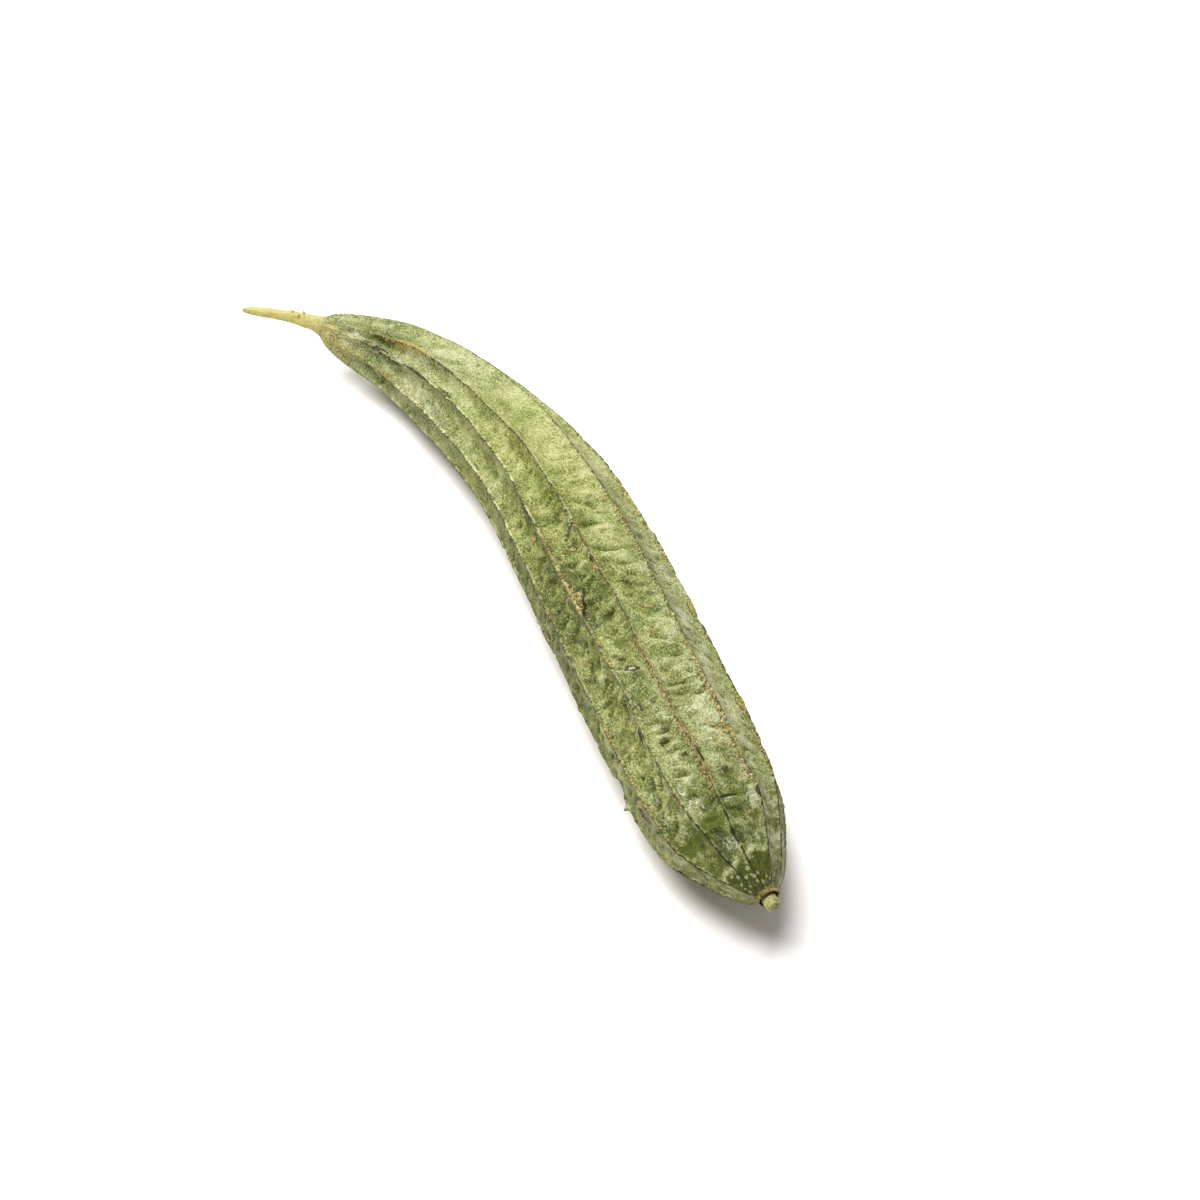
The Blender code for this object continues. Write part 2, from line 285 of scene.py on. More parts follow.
# Broad tone of the rind, partly its own colour and partly painted light and shade, among them a darker
# flank about rib position -0.5 and a lighter one about 3.4: share, rib position, half length and half width
# in mm, change.
TONE_AND_PAINTED_SHADE = (
    (0.6, 0.6, 34, 16, -0.17), (0.6, 1.5, 26, 7, -0.15), (0.62, 2.5, 26, 8, -0.05),
    (0.1, 0.75, 12, 5, -0.22), (0.12, 1.9, 10, 3, -0.16), (0.24, 0.8, 18, 3, -0.1), (0.36, 1.8, 26, 3, -0.1),
    (0.3, 2.6, 50, 12, 0.12), (0.4, 0.3, 20, 5, 0.06), (0.3, 1.3, 30, 4, 0.06), (0.94, 1.3, 9, 26, -0.22),
    (0.55, -0.5, 60, 12, -0.1), (0.2, -0.5, 40, 8, -0.1), (0.5, 0.9, 20, 3, -0.12),
    (0.48, 1.85, 16, 3, -0.08), (0.45, 0.7, 75, 20, -0.09), (0.72, 3.4, 45, 8, 0.12),
    (0.5, -0.5, 60, 9, -0.06), (0.76, 0.5, 22, 4, -0.19), (0.76, 1.5, 20, 4, -0.14), (0.05, 1.6, 9, 5, 0.33),
    (0.72, 2.1, 30, 3, 0.07), (0.12, 0.18, 14, 2.5, 0.12), (0.12, 1.45, 10, 3, 0.1),
    (0.14, 2.3, 22, 5, -0.12), (0.3, 2.45, 34, 6, -0.1), (0.36, -0.5, 16, 6, -0.12),
    (0.64, 1.3, 22, 7, -0.06), (0.76, 2.5, 18, 5, -0.07), (0.94, 2.4, 6, 6, 0.05), (0.94, -0.6, 6, 7, 0.24),
    (0.56, -0.6, 50, 9, -0.1), (0.94, 1.4, 7, 5, -0.2), (0.78, 3.3, 20, 6, 0.08), (0.2, 0.15, 16, 2.5, 0.08),
    (0.93, 3.35, 9, 7, 0.14), (0.84, 3.3, 9, 5, 0.12), (0.86, 0.12, 9, 2, 0.12), (0.86, -0.5, 10, 6, -0.08),
    (0.06, 2.25, 16, 4, -0.28), (0.11, 3.45, 16, 8, -0.2), (0.42, 0.12, 100, 3, 0.05),
    (0.985, -0.6, 8, 9, 0.16), (0.985, 3.4, 8, 9, 0.14),
)
# Silvery bloom, or below zero a yellower green, in the same form.
SILVER = (
    (0.62, 3.5, 90, 10, 0.55), (0.84, 2.4, 40, 16, 0.35), (0.66, -0.7, 80, 11, -1.05),
    (0.93, 3, 16, 14, 0.3), (0.9, -0.6, 14, 9, 0.6), (0.74, 0.5, 40, 5, -0.15), (0.25, 0.15, 60, 4, 0.4),
    (0.62, 0.15, 80, 4, 0.45), (0.6, -0.45, 70, 5, -0.35), (0.05, 1.5, 12, 4, 0.35),
)
# The corner of the lifted flap: share and rib.
FLAP = (0.603, 1.0)
# Where the wrinkles are calmer: share, rib position, half length and half width in mm.
CALM_SPOT = (0.775, 1.72, 17, 5)
# Valley by valley: how many mm apart the cross wrinkles lie, and how strong they are.
WRINKLE_STEP = (6.2, 4.6, 6.0, 5.4, 6.4, 5.8, 6.0, 6.6, 5.6, 5.4)
WRINKLE_STRENGTH = (1, 1, 1, 0.5, 1, 1, 1, 1, 1, 0.8)
# Valley by valley: the share at which the dark cap of the blossom end begins, and how dark it is.
CAP_BEGIN = (0.9745, 0.9735, 0.9700, 0.9600, 0.9580, 0.9660, 0.9710, 0.9690, 0.9730, 0.9640)
CAP_DEPTH = (1, 1, 1, 0.42, 0.45, 0.9, 1, 0.9, 0.8, 0.30)
# The valleys whose cap dots are drawn out into dashes.
DASHED = (3, 4, 9)


# ---- body skin
body_axis = Axis(BODY_START, BODY_LENGTH, BODY_HEADING, BODY_HEIGHT)


def build_body_grid():
    """Positions and surface measures of every point of the ribbed skin."""
    even = np.linspace(0, 1, RINGS)
    share = 0.32 * (0.5 - 0.5 * np.cos(np.pi * even)) + 0.68 * even
    along = share * BODY_LENGTH / MM
    ribs = np.stack([blend(tuple(zip(RIB_STATIONS, row)), share) for row in RIB_ANGLES], axis=1)
    index = np.arange(RIBS)[None, :]
    radius = blend(CREST_RADIUS, share)
    wander = 0.45 * speck(along[:, None] / 22, index * 5.3 + 0.7, 1.5)
    wander = wander + 0.30 * speck(along[:, None] / 6.5, index * 3.1 + 9.4, 4.5)
    wander = wander + 0.22 * speck(along[:, None] / 2.0, index * 2.3 + 3.4, 7.5)
    ribs = ribs + np.degrees(wander * MM / np.maximum(radius, WANDER_RADIUS)[:, None])
    for rib, table in RIB_STRAY.items():
        ribs[:, rib] += np.interp(share, *zip(*table))

    v = np.arange(COLUMNS_PER_VALLEY) / COLUMNS_PER_VALLEY
    across = v - CREST_CROWDING * np.sin(2 * np.pi * v)
    gap = np.diff(np.concatenate([ribs, ribs[:, :1] + 360], axis=1))
    angle = ribs[:, :, None] + gap[:, :, None] * across[None, None, :]
    angle = np.radians(angle.reshape(RINGS, -1))

    def spread(values):
        return np.broadcast_to(values, (RINGS, RIBS, COLUMNS_PER_VALLEY)).reshape(RINGS, -1)

    u = spread(across[None, None, :])
    width = spread(np.radians(gap)[:, :, None] * radius[:, None, None] / MM)
    s = np.broadcast_to(along[:, None], angle.shape)
    big = np.broadcast_to(radius[:, None] / MM, angle.shape)
    return SimpleNamespace(
        share=np.broadcast_to(share[:, None], angle.shape), along=s, angle=angle, across=u,
        rib=spread(np.arange(RIBS)[None, :, None]), width=width, radius=big,
        unbent=np.stack([s, big * np.sin(angle), big * np.cos(angle)], axis=-1),
        crest=np.minimum(u, 1 - u) * width, lean=np.sin(2 * np.pi * u),
        around=(v[None, :] + np.arange(RIBS)[:, None]).ravel() / RIBS,
    )


def offset_from(g, share, place):
    """How far each point lies along and across from a spot, in mm."""
    ds = g.along - share * BODY_LENGTH / MM
    dp = (g.rib + g.across - place + RIBS / 2) % RIBS - RIBS / 2
    return ds, dp * g.width


def patch_at(g, ragged, share, place, half_length, half_width, turn=0):
    """A patch with a ragged edge: 1 inside, 0 outside."""
    ds, dc = offset_from(g, share, place)
    a = math.radians(turn)
    du = (ds * math.cos(a) + dc * math.sin(a)) / half_length
    dv = (dc * math.cos(a) - ds * math.sin(a)) / half_width
    return 1 - smooth_step(0.65, 1.20, np.sqrt(du**2 + dv**2) + ragged)


def soft_oval(g, share, place, half_length, half_width):
    """An oval that fades out: 1 in its middle, about a third at its rim."""
    ds, dc = offset_from(g, share, place)
    return np.exp(-((ds / half_length) ** 2) - (dc / half_width) ** 2)


def changes(g, table):
    """The sum of a table's soft ovals, each as strong as its last value says."""
    return sum(change * soft_oval(g, *oval) for *oval, change in table)


def pucker_relief(g):
    """Transverse wrinkles of the valleys: soft swells near the neck, sharper pillows below."""
    s, u, k = g.along, g.across, g.rib * 7.31
    slant = 0.9 * (u - 0.5) * np.cos(k)
    warp = speck(s / 12, u * 1.3 + k, 2.2) * 3.0 + speck(s / 4.5, u * 3.0 + k, 7.7) * 1.2
    swell = 2.2 * speck(s / 6.5 + 0.4 * warp + slant, u * 1.5 + k, 11.0)
    bow = (u - 0.5) ** 2 * 2.4 * np.sin(k + 1.0)
    phase = s / np.choose(g.rib, WRINKLE_STEP) + 0.26 * warp + bow + slant
    trough = 1 - smooth_step(0.0, 0.75, np.abs(np.sin(np.pi * phase)))
    trough = trough * np.clip(0.55 + 2.2 * speck(s / 5.0, u * 3.2 + k, 21.0), 0, 1.35)
    crease = speck(s / 2.6 + 0.5 * warp + slant, u * 3.2 + k, 33.0)
    late = smooth_step(0.28, 0.52, g.share)
    soft = 0.9 * swell + 0.8 * crease
    sharp = 0.42 - 1.65 * trough + 0.6 * swell + 1.05 * crease
    return (1 - late) * soft + late * sharp, trough * late


def lifted_flap(g):
    """A three-cornered flap of dry skin beside crest 1: its height in mm, its face and its edge, whose dark
    line is partly its own dark rim and partly painted shadow.
    """
    ds, dc = offset_from(g, *FLAP)
    reach = 4.4 * (1 - ds / 14.0)
    inside = smooth_step(-0.5, 0.4, dc) * smooth_step(-0.8, 0.6, ds) * smooth_step(15.0, 13.0, ds)
    lip = reach - dc
    face = inside * smooth_step(-0.25, 0.35, lip)
    edge = inside * bump_at(lip, -0.15, 0.40)
    height = face * (0.25 + 0.75 * np.exp(-np.maximum(lip, 0) / 1.6)) - 0.5 * inside * bump_at(lip, -1.1, 0.6)
    return height, face, edge


def stain_masks(g, ragged, face, edge, shadowed):
    """Where the larger stains lie, by kind, with the flap and the troughs' darker green, partly their own
    colour and partly painted shade, among them.
    """
    masks = {name: np.zeros_like(g.share) for name in STAINS}
    for kind in STAINS:
        for share, place, length, width, amount, *turn in MARKS[kind]:
            if min(length, width) > SMALL:
                mask = amount * patch_at(g, ragged, share / 1000, place, length, width, *turn)
                masks[kind] = np.maximum(masks[kind], mask)
    # The wrinkles' troughs are laid in as deep green: partly their own colour, partly painted shade.
    masks["deep"] = np.maximum(masks["deep"], 0.74 * shadowed)
    masks["tan"] = np.maximum(masks["tan"] * (1 - edge), face * (1 - edge))
    # The flap's lifted edge is painted dark: partly its own dark rim, partly painted shadow.
    masks["dark"] = np.maximum(masks["dark"], 0.6 * edge)
    return masks


def crest_wear(g):
    """How corky the nearest crest is: by its own table, or at random."""
    t, s, k = g.share, g.along, g.rib
    wear = 0.45 + 1.3 * speck(s / 18, k * 6.1, 71.0) + 0.6 * speck(s / 5, k * 2.9, 74.0)
    wear = wear * smooth_step(0.24, 0.5, t) * (1 - smooth_step(0.89, 0.92, t))
    for rib, table in RIB_WEAR.items():
        own = np.interp(t, *zip(*table), left=0) * (1 + 0.7 * speck(s / 2.6, rib * 9.7, 77.0))
        wear = np.where(nearest_crest(g) == rib, own, wear)
    return np.clip(wear, 0, 1.5)


def nearest_crest(g):
    return np.where(g.across < 0.5, g.rib, (g.rib + 1) % RIBS)


def crest_relief(g, wear, ragged, ends):
    """The keel along each crest in mm, swollen where it is corky, with nicks and bites."""
    t, s, crest, k = g.share, g.along, g.crest, g.rib
    tip = smooth_step(0.02, 0.10, t) * (1 - smooth_step(0.94, 0.99, t))
    keel = 0.55 * bump_at(crest, 0, 0.7) * tip
    swollen = 0.35 * wear * bump_at(crest, 0, 1.3) * (1 + 1.2 * ragged)
    nick = np.clip(speck(s / 2.6, k * 4.9, 61.0) + 0.7 * speck(s / 1.1, k * 8.3, 66.0) - 0.12, 0, 1)
    nick = 0.75 * nick * bump_at(crest, 0, 1.0) * smooth_step(0.2, 0.45, t) * ends
    bites = np.zeros_like(t)
    for share, rib, length, deep in BITES:
        ds, dc = offset_from(g, share, rib)
        bites += deep * np.exp(-((ds / length) ** 4) - (dc / BITE_WIDTH) ** 2)
    return keel + swollen - nick - bites


def past_cap_edge(g):
    """How far past the dark cap's scalloped edge each point lies, as a share."""
    beyond = g.share - np.choose(g.rib, CAP_BEGIN) + 0.0036 * np.sin(np.pi * g.across) - 0.0018
    beyond = beyond + 0.0040 * speck(g.angle * 4, g.along / 3, 3.3)
    return beyond + 0.0020 * speck(g.angle * 11, g.along / 1.3, 5.3)


def rind_tone(g, lit, beyond):
    """How light the rind is: from the wrinkles, lighter on their tops and darker in their troughs, partly its
    own colour and partly painted light and shade; from the table of tone and painted shade, blotches and the
    cap's pale rim.
    """
    t, s = g.share, g.along
    y, z = g.unbent[..., 1], g.unbent[..., 2]
    # Lighter on the wrinkles' tops and darker in their troughs: partly the rind's own colour, partly painted
    # light and shade.
    tone = (0.12 + 0.15 * smooth_step(0.3, 0.6, t)) * np.where(g.rib == 3, 0.5, 1.0) * lit
    # The table adds broad tone, partly painted shade and light on the flanks.
    tone = tone + changes(g, TONE_AND_PAINTED_SHADE) - 0.10 * smooth_step(0.36, 0.55, t) - 0.05 * smooth_step(0.88, 0.93, t)
    tone = tone + 0.16 * speck(s / 15, y / 9, z / 9) + 0.14 * speck(s / 5, y / 4, z / 4)
    blotch = 0.50 * speck(s / 6, y / 6 + 3, z / 6) + 0.45 * speck(s / 2.4, y / 2.4 + 5, z / 2.4)
    glow = np.clip(0.40 + 1.4 * speck(g.angle * 3 + 2, s / 5, 13.3), 0, 0.9)
    return tone + blotch * smooth_step(0.86, 0.93, t) + glow * bump_at(beyond, -0.0042, 0.0026)


def body_surface(g):
    """How far each point stands out in mm, and the masks that the rind's nodes read."""
    t, s, u, k = g.share, g.along, g.across, g.rib
    x, y, z = np.moveaxis(g.unbent, -1, 0)
    ends = smooth_step(0.0, 0.06, t) * (1 - smooth_step(0.93, 0.985, t))
    valley = np.sin(np.pi * u) ** 0.8
    patch = 0.5 + 0.9 * speck(s / 26, k * 3.7 + u, 51.0)
    relief, trough = pucker_relief(g)
    calm = (1 - 0.5 * smooth_step(0.885, 0.92, t)) * (1 - 0.6 * soft_oval(g, *CALM_SPOT))
    strength = (0.40 + 0.60 * smooth_step(0.28, 0.62, t)) * (0.78 + 0.35 * patch) * calm
    pucker = relief * strength * np.choose(k, WRINKLE_STRENGTH) * valley * ends

    ragged = 0.35 * speck(x / 1.3, y / 1.3, z / 1.3) + 0.25 * speck(x / 0.6 + 9, y / 0.6, z / 0.6)
    # Darker green for the wrinkles' troughs, partly painted shade.
    shadowed = smooth_step(0.45, 1.1, trough) * valley * ends * (1 - smooth_step(0.88, 0.92, t))
    flap, face, edge = lifted_flap(g)
    masks = stain_masks(g, ragged, face, edge, shadowed * calm)
    wear = crest_wear(g)
    sink = 1.25 * blend(VALLEY_DEPTH, t) / MM * np.sin(np.pi * u) ** 0.85
    grain = (0.10 * speck(x / 1.6, y / 1.6, z / 1.6) + 0.07 * speck(x / 0.8, y / 0.8, z / 0.8)) * ends
    broad = 0.4 * speck(x / 17, y / 17, z / 17) * ends
    scars = 0.30 * masks["tan"] + 0.10 * masks["ochre"] + 0.30 * masks["cream"] + 0.12 * masks["pale"]
    scars = scars * (1 + ragged) - 0.40 * masks["dark"] - 0.16 * masks["deep"]
    out = crest_relief(g, wear, ragged, ends) - sink + pucker + grain + broad + scars + flap - TRIM

    beyond = past_cap_edge(g)
    dots = smooth_step(-0.0010, 0.0010, beyond)
    silver = 0.60 * (1 - smooth_step(0.16, 0.34, t)) + 0.25 * smooth_step(0.45, 0.65, t)
    masks.update(
        wear=wear, tone=rind_tone(g, relief * valley * (0.5 + patch) * calm, beyond),
        dots=dots, cap=dots * np.choose(k, CAP_DEPTH), silver=silver + changes(g, SILVER),
    )
    return out, masks


def body_points(g, out):
    centre, _, left, up = (v[:, None] for v in body_axis.frame(g.share[:, 0]))
    radius = np.maximum(g.radius + out, 3.9 - 0.2 * g.share)
    return ring_points(centre, left, up, g.angle, radius)


def collar_rings(g):
    """The corky rim and the hollow that the stub sits in."""
    centre, forward, left, up = body_axis.frame(np.array([1.0]))
    angle = g.angle[-1]
    torn = 0.5 * speck(np.cos(angle) * 1.4, np.sin(angle) * 1.4, 5.0)
    torn = torn + 0.35 * speck(np.cos(angle) * 4, np.sin(angle) * 4, 8.0)
    offset, radius = np.array(COLLAR).T[..., None]
    ahead = offset + torn * np.where(offset > 0, 0.6, 0.0)
    return ring_points(centre + forward * ahead[..., None] * MM, left, up, angle, radius + 0.25 * torn)


def add_object(name, data):
    obj = bpy.data.objects.new(name, data)
    scene.collection.objects.link(obj)
    return obj


def grid_mesh(name, points, around):
    """A closed skin over rings of points, both ends capped, with a map that unrolls it."""
    rows, cols = points.shape[:2]
    verts = points.reshape(-1, 3).tolist() + [points[0].mean(0).tolist(), points[-1].mean(0).tolist()]
    first, last = len(verts) - 2, len(verts) - 1
    step = np.linalg.norm(np.diff(points.mean(1), axis=0), axis=1)
    reach = np.linalg.norm(points - points.mean(1, keepdims=True), axis=2).mean(1)
    high = np.concatenate([[0], np.cumsum(np.hypot(step, np.diff(reach)))])
    high = 0.02 + 0.96 * high / high[-1]
    wide = np.append(around, 1.0)
    faces, corners = [], []
    for i in range(rows - 1):
        for j in range(cols):
            n = (j + 1) % cols
            faces.append((i * cols + j, i * cols + n, (i + 1) * cols + n, (i + 1) * cols + j))
            corners += [(wide[j], high[i]), (wide[j + 1], high[i])]
            corners += [(wide[j + 1], high[i + 1]), (wide[j], high[i + 1])]
    base = (rows - 1) * cols
    for j in range(cols):
        middle = (wide[j] + wide[j + 1]) / 2
        faces.append((first, (j + 1) % cols, j))
        corners += [(middle, 0.0), (wide[j + 1], high[0]), (wide[j], high[0])]
        faces.append((last, base + j, base + (j + 1) % cols))
        corners += [(middle, 1.0), (wide[j], high[-1]), (wide[j + 1], high[-1])]
    mesh = bpy.data.meshes.new(name)
    mesh.from_pydata(verts, [], faces)
    mesh.polygons.foreach_set("use_smooth", [True] * len(mesh.polygons))
    layer = mesh.uv_layers.new(name="OFBake")
    layer.data.foreach_set("uv", np.array(corners, np.float32).ravel())
    mesh.update()
    return add_object(name, mesh)


def store(obj, name, *values):
    """Keep a number, or three, for each grid point; the two cap points get the end rings' mean."""
    full = np.stack([np.append(v.ravel(), [v[0].mean(), v[-1].mean()]) for v in values], axis=-1)
    kind, field = ("FLOAT", "value") if len(values) == 1 else ("FLOAT_VECTOR", "vector")
    layer = obj.data.attributes.new(name, kind, "POINT")
    layer.data.foreach_set(field, full.astype(np.float32).ravel())


# ---- material helpers
def tint(r, g, b):
    """The paint, as linear light, that looks like this 0 to 255 colour under the bright lamp."""
    shares = (c / 255 for c in (r, g, b))
    return tuple(LAMP * (c / 12.92 if c <= 0.04045 else ((c + 0.055) / 1.055) ** 2.4) for c in shares)


class Nodes:
    """Short hand for wiring a node tree. Colours are given as they should look, from 0 to 255."""

    def __init__(self, name):
        self.material = bpy.data.materials.new(name)
        self.material.use_nodes = True
        self.tree = self.material.node_tree
        self.tree.nodes.clear()
        self.shader = self.node("BsdfPrincipled")
        self.wire("OutputMaterial", {"Surface": self.shader.outputs["BSDF"]})
        self.where = self.attribute("unbent", "Vector")

    def node(self, kind, **settings):
        node = self.tree.nodes.new("ShaderNode" + kind)
        for name, value in settings.items():
            setattr(node, name, value)
        return node

    def feed(self, node, inputs):
        for name, value in inputs.items():
            socket = node.inputs[name]
            if isinstance(value, bpy.types.NodeSocket):
                self.tree.links.new(value, socket)
            elif socket.type == "RGBA":
                socket.default_value = (*tint(*value), 1.0)
            else:
                socket.default_value = value

    def wire(self, kind, inputs, output=None, **settings):
        """A new node with these inputs and settings; gives the output asked for."""
        node = self.node(kind, **settings)
        self.feed(node, inputs)
        return None if output is None else node.outputs[output]

    def attribute(self, name, output="Fac"):
        return self.wire("Attribute", {}, output, attribute_name=name)

    def three(self, name):
        node = self.node("SeparateXYZ")
        self.feed(node, {0: self.attribute(name, "Vector")})
        return node.outputs[0], node.outputs[1], node.outputs[2]

    def math(self, kind, a, b=0.0, c=0.0):
        return self.wire("Math", {0: a, 1: b, 2: c}, 0, operation=kind)

    def add(self, *terms):
        return reduce(partial(self.math, "ADD"), terms)

    def times(self, *terms):
        return reduce(partial(self.math, "MULTIPLY"), terms)

    def largest(self, *terms):
        return reduce(partial(self.math, "MAXIMUM"), terms)

    def swing(self, value, amount):
        """A noise value turned into a change of up to about half the amount either way."""
        return self.math("MULTIPLY_ADD", value, amount, -0.5 * amount)

    def ramp(self, value, low, high, to_low=0.0, to_high=1.0):
        inputs = {"Value": value, "From Min": low, "From Max": high, "To Min": to_low, "To Max": to_high}
        return self.wire("MapRange", inputs, "Result", interpolation_type="SMOOTHSTEP")

    def vector(self, kind, a, b, output="Vector"):
        return self.wire("VectorMath", {0: a, 1: b}, output, operation=kind)

    def noise(self, scale, detail=3.0, rough=0.6):
        """Noise over the unbent fruit, with one scale or one for each axis."""
        vector, even = self.where, scale
        if isinstance(scale, tuple):
            vector, even = self.vector("MULTIPLY", self.where, scale), 1.0
        inputs = {"Vector": vector, "Scale": even, "Detail": detail, "Roughness": rough}
        return self.wire("TexNoise", inputs, "Fac")

    def dots(self, vector, scale, rim, chance, randomness=1.0, bend=0.0):
        """Round dots in some of the cells of a scatter, with soft limits for rim and chance."""
        node = self.node("TexVoronoi")
        self.feed(node, {"Vector": vector, "Scale": scale, "Randomness": randomness})
        distance = node.outputs["Distance"] if bend == 0.0 else self.add(node.outputs["Distance"], bend)
        drawn = self.wire("SeparateColor", {0: node.outputs["Color"]}, 0)
        return self.times(self.ramp(distance, *rim), self.ramp(drawn, *chance))

    def oval(self, centre, along, across):
        """How far a place lies from the middle of an oval whose rim is at distance 1."""
        gap = self.vector("SUBTRACT", self.where, centre)
        a, b = (self.vector("DOT_PRODUCT", gap, axis, "Value") for axis in (along, across))
        return self.math("SQRT", self.math("MULTIPLY_ADD", b, b, self.times(a, a)))

    def mix(self, factor, a, b):
        return self.wire("Mix", {0: factor, 6: a, 7: b}, 2, data_type="RGBA", clamp_factor=True)

    def either(self, value, a, b, low=0.4, high=0.6):
        """One colour where the value is low, the other where it is high."""
        return self.mix(self.ramp(value, low, high), a, b)

    def shades(self, value, stops):
        """A run of colours through (value, colour) stops."""
        node = self.node("ValToRGB")
        self.feed(node, {0: value})
        elements = node.color_ramp.elements
        while len(elements) < len(stops):
            elements.new(0.5)
        for element, (place, colour) in zip(elements, stops):
            element.position = place
            element.color = (*tint(*colour), 1.0)
        return node.outputs[0]

    def paint(self, colour, *factors):
        """Lay a colour over what is there, as strongly as all the factors together say."""
        self.colour = self.mix(self.times(*factors), self.colour, colour)

    def finish(self, rough, height, specular):
        bump = self.wire("Bump", {"Height": height, "Strength": 1.0, "Distance": MM}, "Normal")
        self.feed(self.shader, {"Base Color": self.colour, "Roughness": rough, "Normal": bump})
        self.feed(self.shader, {"Specular IOR Level": specular})
        return self.material


# ---- materials
# The rind's colours at these tones: plain, under silvery bloom and where it is a yellower green.
TONES = (0.02, 0.25, 0.48, 0.72, 1.00)
GREEN = ((58, 71, 10), (95, 107, 30), (136, 145, 72), (174, 178, 111), (211, 211, 164))
SILVERY = ((60, 70, 30), (104, 113, 62), (146, 154, 104), (183, 187, 144), (214, 214, 186))
OLIVE = ((46, 58, 4), (82, 96, 16), (116, 128, 42), (154, 160, 72), (198, 198, 122))


def placed(g, share, place, length, width, turn=0):
    """The middle of a mark on the skin and its two axes, each divided by its half size."""
    ds, dc = offset_from(g, share, place)
    nearest = np.unravel_index(np.argmin(ds**2 + dc**2), ds.shape)
    angle, a = g.angle[nearest], math.radians(turn)
    ahead, aside = np.array([1.0, 0.0, 0.0]), np.array([0.0, math.cos(angle), -math.sin(angle)])
    along = (ahead * math.cos(a) + aside * math.sin(a)) / length
    across = (aside * math.cos(a) - ahead * math.sin(a)) / width
    return g.unbent[nearest], along, across


def fine_marks():
    """The marks that are only painted, each with its kind."""
    for kind in FINE_KINDS:
        for mark in MARKS[kind]:
            if kind == "curls" or min(mark[2:4]) <= SMALL:
                yield (kind, *mark)


def rind_nodes():
    """The rind's node tree, with the measures and the noises that its layers share."""
    n = Nodes("rind")
    n.share, n.crest, n.lean = n.three("place")
    n.tone, n.wear, n.cap = n.three("finish")
    n.ochre, n.tan, n.dark = n.three("stain_a")
    n.deep, n.pale, n.cream = n.three("stain_b")
    n.grain = n.noise(1.05, 2.0)
    n.grit = n.noise(1.95, 1.0, 0.5)
    n.coarse = n.noise(0.42)
    n.rag = n.noise(0.8, 3.0, 0.65)
    n.cork = n.shades(n.add(n.swing(n.grit, 2.3), n.swing(n.grain, 1.9), 0.5), (
        (0.08, (62, 54, 28)), (0.38, (124, 110, 58)), (0.70, (173, 156, 90)), (1.0, (216, 204, 138)),
    ))
    return n


def ragged(n, mask, low=0.30, high=0.55, reach=1.3):
    """A mask whose edge the grain breaks up."""
    return n.ramp(n.add(mask, n.times(n.swing(n.grain, reach), n.ramp(mask, 0.0, 0.1))), low, high)


def paint_ground(n):
    """Green, with silvery bloom or a yellower green, and thin straw coloured clouds."""
    # The tone carries painted light and shade from the wrinkles and from the broad table.
    tone = n.add(n.tone, 0.55, n.swing(n.grain, 0.95), n.swing(n.grit, 1.25), n.swing(n.coarse, 0.45))
    n.colour, silvery, olive = (n.shades(tone, tuple(zip(TONES, run))) for run in (GREEN, SILVERY, OLIVE))
    silver = n.attribute("silver")
    n.paint(silvery, n.ramp(n.noise((0.13, 0.2, 0.2)), 0.35, 0.60, 0.5, 1.3), silver)
    n.paint(olive, silver, -1.0)
    n.paint((186, 174, 104), n.ramp(n.noise((0.16, 0.22, 0.22)), 0.45, 0.70), 0.22)


def paint_specks(n):
    """Pale specks, partly the skin's own and partly painted glints, corky flecks and small dark green pits.
    """
    # Pale specks: partly the skin's own, partly painted glints of the bumpy skin.
    pale_dot_and_glint = n.dots(n.where, 0.85, (0.34, 0.18), (0.60, 0.64))
    pale_dot_and_glint = n.times(pale_dot_and_glint, n.ramp(n.share, 0.86, 0.92, 0.55, 0.3))
    n.paint(n.either(n.coarse, (212, 202, 124), (214, 216, 162)), pale_dot_and_glint)
    n.fleck = n.dots(n.where, 0.15, (0.13, 0.08), (0.50, 0.54))
    n.paint(n.either(n.coarse, (160, 136, 78), (212, 200, 132)), n.fleck, 0.75)
    n.pit = n.dots(n.vector("MULTIPLY", n.where, (0.8, 0.45, 0.45)), 0.21, (0.16, 0.09), (0.62, 0.66))
    n.paint((84, 100, 44), n.pit, 0.6)


def paint_stains(n):
    """The larger patches: bare green, deep green (in the troughs partly painted shade), ochre, pale bloom,
    cream scars and corky scabs.
    """
    green = n.ramp(n.noise((0.30, 0.42, 0.42), 3.0, 0.65), 0.46, 0.58)
    green = n.times(green, n.ramp(n.share, 0.83, 0.91), 0.75)
    n.paint((94, 108, 20), green, n.ramp(n.grit, 0.35, 0.62, 1.0, 0.35))
    # Deep green stains, and in the troughs a darker green that is partly painted shade.
    n.paint((86, 101, 14), ragged(n, n.deep, 0.25, 0.70), n.ramp(n.grit, 0.35, 0.65, 1.0, 0.6))
    ochre = n.either(n.grit, (172, 152, 74), (204, 188, 110))
    n.paint(ochre, n.ochre, n.ramp(n.grain, 0.3, 0.6, 0.95, 0.55))
    mealy = n.add(n.grit, n.swing(n.grain, 0.6))
    pale = n.either(mealy, (164, 172, 124), (210, 213, 176), 0.35, 0.65)
    n.paint(pale, ragged(n, n.pale, 0.22, 0.80), 0.8)
    n.paint((216, 212, 156), ragged(n, n.cream), 0.9)
    n.paint(n.cork, ragged(n, n.tan), n.ramp(n.grit, 0.35, 0.65, 1.0, 0.75))


